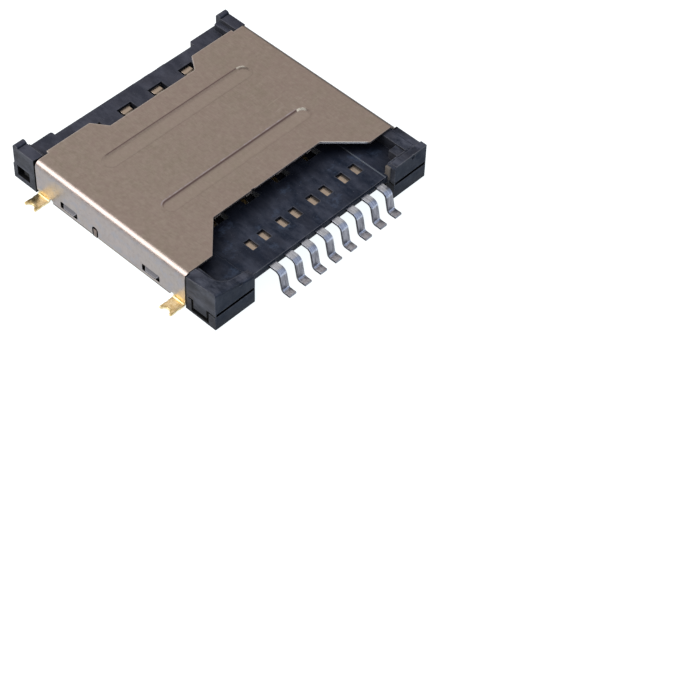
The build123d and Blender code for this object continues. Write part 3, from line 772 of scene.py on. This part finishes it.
def put_in_place(piece, slot, *nodes):
    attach(piece, "root")
    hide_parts(*nodes)


def row_tree(material):
    """Geometry nodes that repeat one contact along a row at an even pitch."""
    tree = bpy.data.node_groups.new("contact_row", "GeometryNodeTree")
    face = tree.interface
    face.new_socket("Geometry", in_out="INPUT", socket_type="NodeSocketGeometry")
    count = face.new_socket("Count", in_out="INPUT", socket_type="NodeSocketInt")
    pitch = face.new_socket("Pitch", in_out="INPUT", socket_type="NodeSocketFloat")
    face.new_socket("Geometry", in_out="OUTPUT", socket_type="NodeSocketGeometry")
    start = tree.nodes.new("NodeGroupInput")
    end = tree.nodes.new("NodeGroupOutput")
    step = tree.nodes.new("ShaderNodeCombineXYZ")
    line = tree.nodes.new("GeometryNodeMeshLine")
    repeat = tree.nodes.new("GeometryNodeInstanceOnPoints")
    whole = tree.nodes.new("GeometryNodeRealizeInstances")
    coat = tree.nodes.new("GeometryNodeSetMaterial")
    coat.inputs["Material"].default_value = material
    join = tree.links.new
    join(start.outputs["Pitch"], step.inputs["X"])
    join(start.outputs["Count"], line.inputs["Count"])
    join(step.outputs["Vector"], line.inputs["Offset"])
    join(line.outputs["Mesh"], repeat.inputs["Points"])
    join(start.outputs["Geometry"], repeat.inputs["Instance"])
    join(repeat.outputs["Instances"], whole.inputs["Geometry"])
    join(whole.outputs["Geometry"], coat.inputs["Geometry"])
    join(coat.outputs["Geometry"], end.inputs["Geometry"])
    return tree, count.identifier, pitch.identifier


def contact_row(name, nodes, material, tree, count_input, pitch_input):
    """The four contacts of one row of one deck, repeated from the first."""
    single = with_soft_edges(name + "_single", welded(nodes[0]), material, STRIP_EDGE)
    modifier = single.modifiers.new("row", "NODES")
    modifier.node_group = tree
    modifier[count_input] = COLUMNS
    modifier[pitch_input] = COLUMN_PITCH * MM
    piece = shown(name, finished_mesh(single))
    put_in_place(piece, "contact_metal", *nodes)


sheet_metal = shield_finish()
plastic = moulding_finish()
strip_metal = contact_finish()

shield = with_soft_edges("shield_sheet", welded("shield"), sheet_metal, SHEET_EDGE)
put_in_place(shield, "shield_metal", "shield")
deck = with_soft_edges("deck_moulding", welded("upper_housing"), plastic, MOULDED_EDGE, DECK_STRIP)
put_in_place(deck, "plastic", "upper_housing")
base = with_soft_edges("floor_moulding", welded("lower_housing"), plastic, MOULDED_EDGE, FLOOR_STRIP)
put_in_place(base, "plastic", "lower_housing")

contact_tree, count_input, pitch_input = row_tree(strip_metal)
for deck_name in ("upper", "lower"):
    for first, row_name in ((1, "front"), (2, "rear")):
        nodes = [f"{deck_name}_contact_{first + 2 * k}" for k in range(COLUMNS)]
        contact_row(f"{deck_name}_{row_name}_contacts", nodes, strip_metal,
                    contact_tree, count_input, pitch_input)


# The studio

def studio_floor():
    """A plain white floor, just under the feet of the leads."""
    mesh = bpy.data.meshes.new("studio_floor")
    corners = [(-FLOOR_REACH, -FLOOR_REACH), (FLOOR_REACH, -FLOOR_REACH),
               (FLOOR_REACH, FLOOR_REACH), (-FLOOR_REACH, FLOOR_REACH)]
    mesh.from_pydata([(x, y, -FLOOR_DROP * MM) for x, y in corners], [], [(0, 1, 2, 3)])
    paper = bpy.data.materials.new("floor_paper")
    paper.use_nodes = True
    shader = paper.node_tree.nodes["Principled BSDF"]
    shader.inputs["Base Color"].default_value = (0.32, 0.32, 0.32, 1)
    shader.inputs["Roughness"].default_value = 0.9
    shader.inputs["Specular IOR Level"].default_value = 0.0
    shader.inputs["Emission Color"].default_value = (0.93, 0.98, 1.0, 1)
    shader.inputs["Emission Strength"].default_value = 0.96
    mesh.materials.append(paper)
    floor = in_scene("studio_floor", mesh)


def softbox(name, place, size, power, colour):
    """A square lamp that looks at the socket, its place and size in millimetres."""
    data = bpy.data.lights.new(name, "AREA")
    data.shape = "SQUARE"
    data.size = size * MM
    data.energy = power
    data.color = colour
    lamp = in_scene(name, data)
    lamp.location = Vector(place) * MM
    lamp.rotation_euler = (-lamp.location).to_track_quat("-Z", "Y").to_euler()


def studio_camera():
    """A long lens, at the picture's viewing angle."""
    data = bpy.data.cameras.new("camera")
    data.lens = CAMERA_LENS
    data.sensor_width = 36.0
    data.clip_start = 0.002
    data.clip_end = 20.0
    camera = in_scene("camera", data)
    camera.location = Vector(CAMERA_PLACE) * MM
    camera.rotation_euler = [math.radians(a) for a in CAMERA_TURN]
    bpy.context.scene.camera = camera


def studio_sky():
    """Warm soft light from the back of the studio, cool light from the front, and less from +X."""
    world = bpy.data.worlds.new("studio")
    world.use_nodes = True
    tree = world.node_tree
    back = tree.nodes["Background"]
    direction = tree.nodes.new("ShaderNodeTexCoord")
    split = tree.nodes.new("ShaderNodeSeparateXYZ")
    reach = tree.nodes.new("ShaderNodeMapRange")
    colours = tree.nodes.new("ShaderNodeValToRGB")
    dimmed = tree.nodes.new("ShaderNodeMapRange")
    tree.links.new(direction.outputs["Generated"], split.inputs["Vector"])
    tree.links.new(split.outputs["Y"], reach.inputs["Value"])
    tree.links.new(reach.outputs["Result"], colours.inputs["Fac"])
    tree.links.new(colours.outputs["Color"], back.inputs["Color"])
    tree.links.new(split.outputs["X"], dimmed.inputs["Value"])
    tree.links.new(dimmed.outputs["Result"], back.inputs["Strength"])
    reach.inputs["From Min"].default_value = -1.0
    ramp = colours.color_ramp
    for place, colour in SKY:
        stop = ramp.elements.new((place + 1) / 2)
        stop.color = (*colour, 1)
    ramp.elements.remove(ramp.elements[0])
    ramp.elements.remove(ramp.elements[-1])
    for key, number in (("From Min", 0.66), ("From Max", 0.84), ("To Min", 1.0), ("To Max", 0.35)):
        dimmed.inputs[key].default_value = number
    bpy.context.scene.world = world


studio_floor()
studio_sky()
for lamp_name, (place, size, power, colour) in SOFTBOXES.items():
    softbox(lamp_name, place, size, power, colour)
studio_camera()
bpy.context.scene.view_settings.view_transform = "Standard"
bpy.context.scene.view_settings.look = "None"
